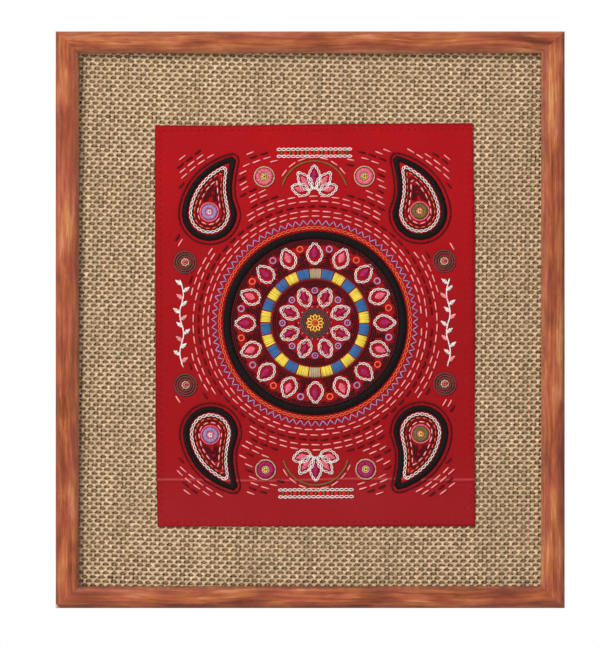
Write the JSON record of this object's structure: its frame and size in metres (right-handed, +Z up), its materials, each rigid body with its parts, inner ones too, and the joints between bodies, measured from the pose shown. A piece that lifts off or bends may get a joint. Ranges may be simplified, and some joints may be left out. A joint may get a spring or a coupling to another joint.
{
  "type": "framed embroidery",
  "caption": "Upright hand-embroidered red cloth laid on a coarse woven jute ground, in a mitred wooden frame with a rabbet and a plain backing board, for hanging on a wall.",
  "frame": {"origin": "middle of the top rail's flat back face, where the frame bears on the wall", "axes": "+Z up along the picture's height, +X to the right as seen from the front, +Y into the wall; the picture faces -Y and its back lies in the plane Y = 0"},
  "size_m": [0.406, 0.022, 0.46],
  "materials": {
    "frame_wood": "satin",
    "jute": "matte",
    "embroidered_cotton": "matte",
    "board": "matte"
  },
  "bodies": {
    "root": {"rail_top": "frame_wood", "rail_bottom": "frame_wood", "rail_left": "frame_wood", "rail_right": "frame_wood", "jute_ground": "jute", "embroidered_cloth": "embroidered_cotton", "backing_board": "board"}
  },
  "joints": []
}
